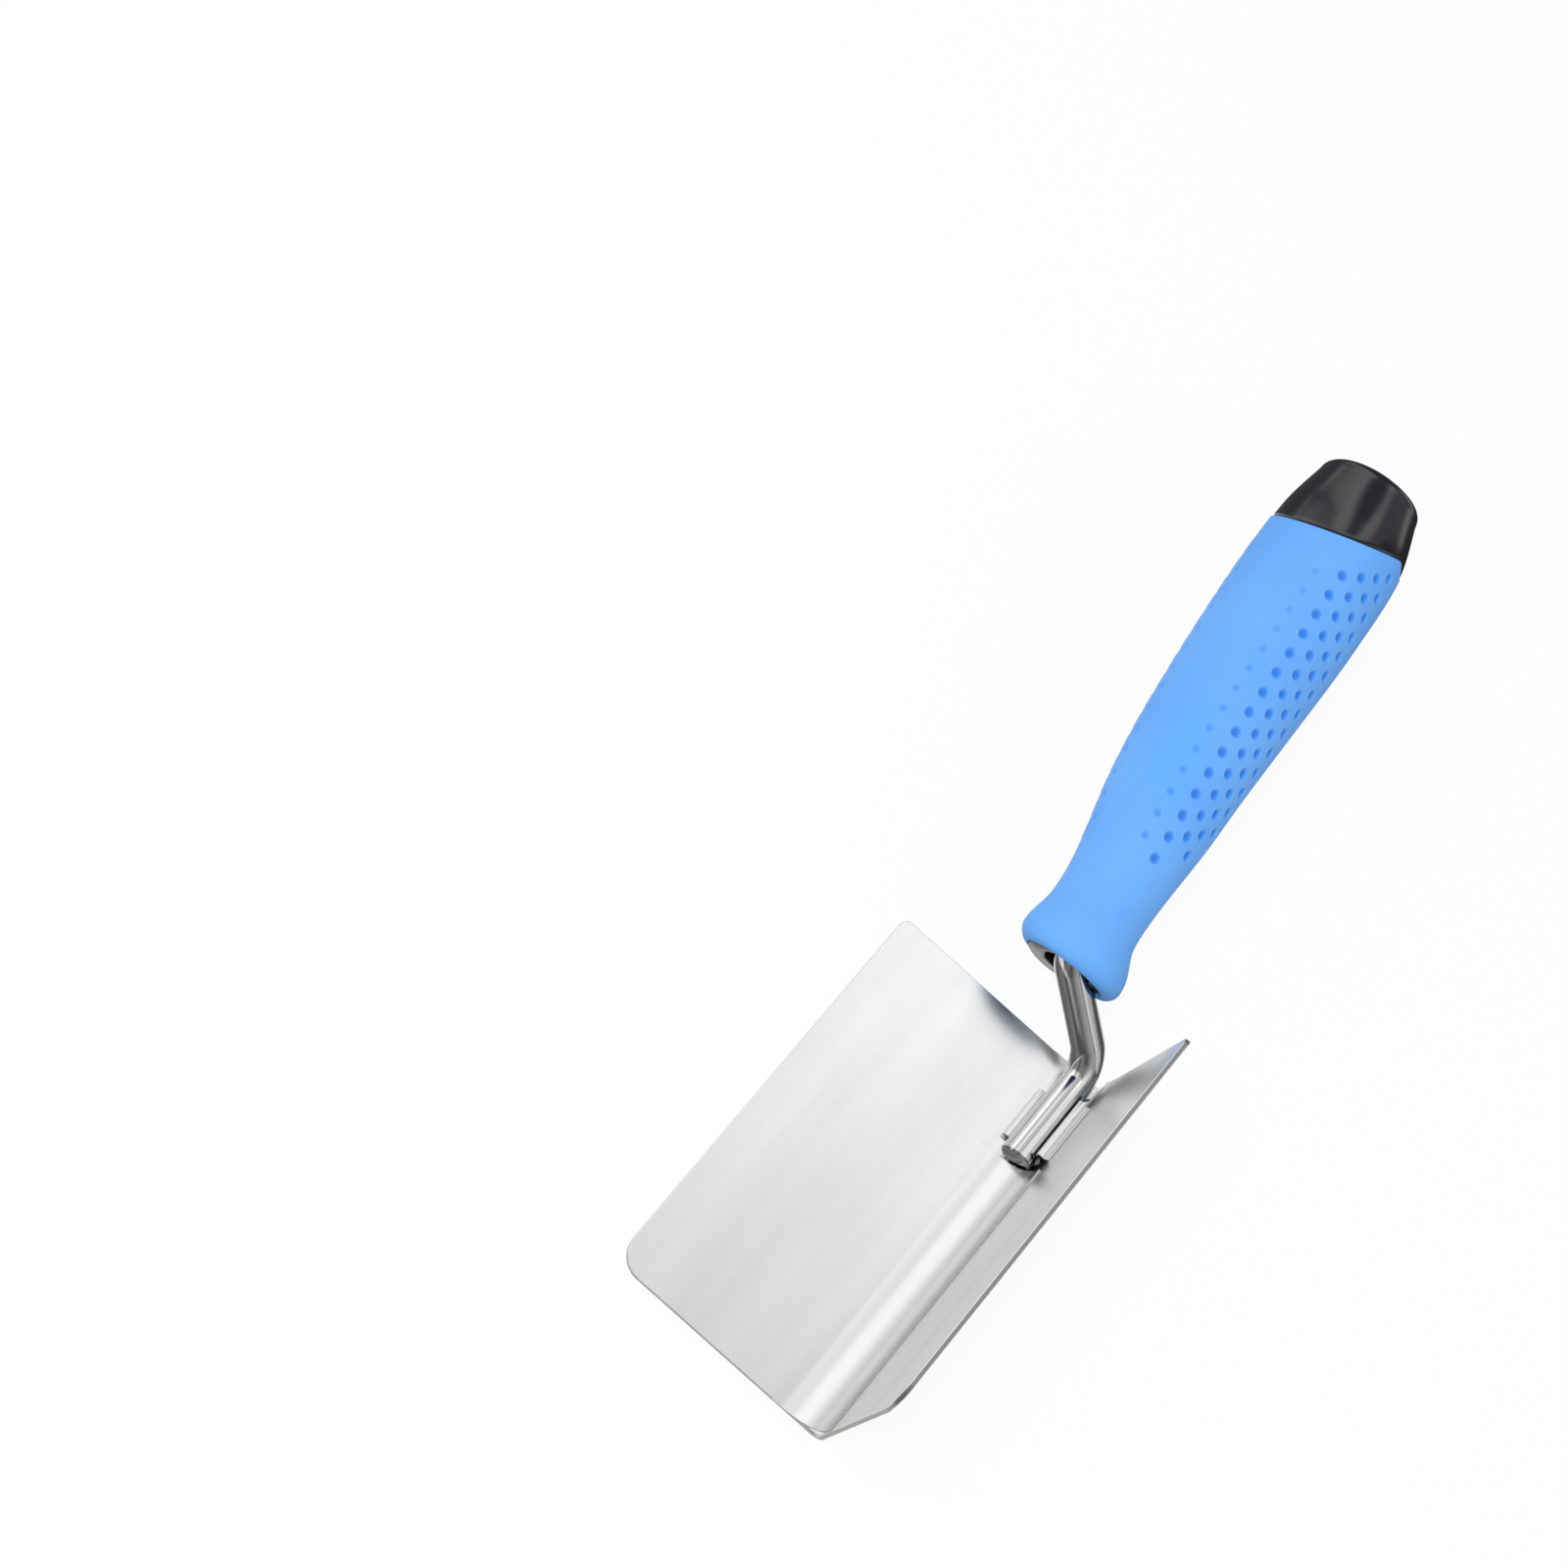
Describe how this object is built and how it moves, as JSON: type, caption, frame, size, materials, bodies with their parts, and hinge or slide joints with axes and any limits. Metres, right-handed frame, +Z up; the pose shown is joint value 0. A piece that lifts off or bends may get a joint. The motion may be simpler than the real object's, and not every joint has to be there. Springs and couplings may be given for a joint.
{
  "type": "inside corner trowel",
  "caption": "Inside corner trowel: a folded right-angle steel blade on a bent round rod, with a soft grip over a hard core and a butt cap, for smoothing plaster into inside corners",
  "frame": {"origin": "Middle of the flat outside face of the left wing, which lies on z = 0", "axes": "+Y runs along the fold from the front edge of the blade to the butt of the handle, +Z is up from the left wing's outside face, and the right wing stands upright with its outside face looking along +X"},
  "size_m": [0.06, 0.2454, 0.06],
  "materials": {
    "satin_stainless": "satin stainless sheet with a fine grain",
    "pressed_steel": "bright pressed steel",
    "polished_rod": "polished round bar",
    "hard_black_plastic": "satin moulded plastic",
    "soft_blue_rubber": "matt soft moulding with round dimples"
  },
  "bodies": {
    "root": {"blade": "satin_stainless", "corner_liner": "satin_stainless", "shank_saddle": "pressed_steel", "shank": "polished_rod", "handle_core": "hard_black_plastic", "soft_grip": "soft_blue_rubber", "butt_cap": "hard_black_plastic"}
  },
  "joints": []
}
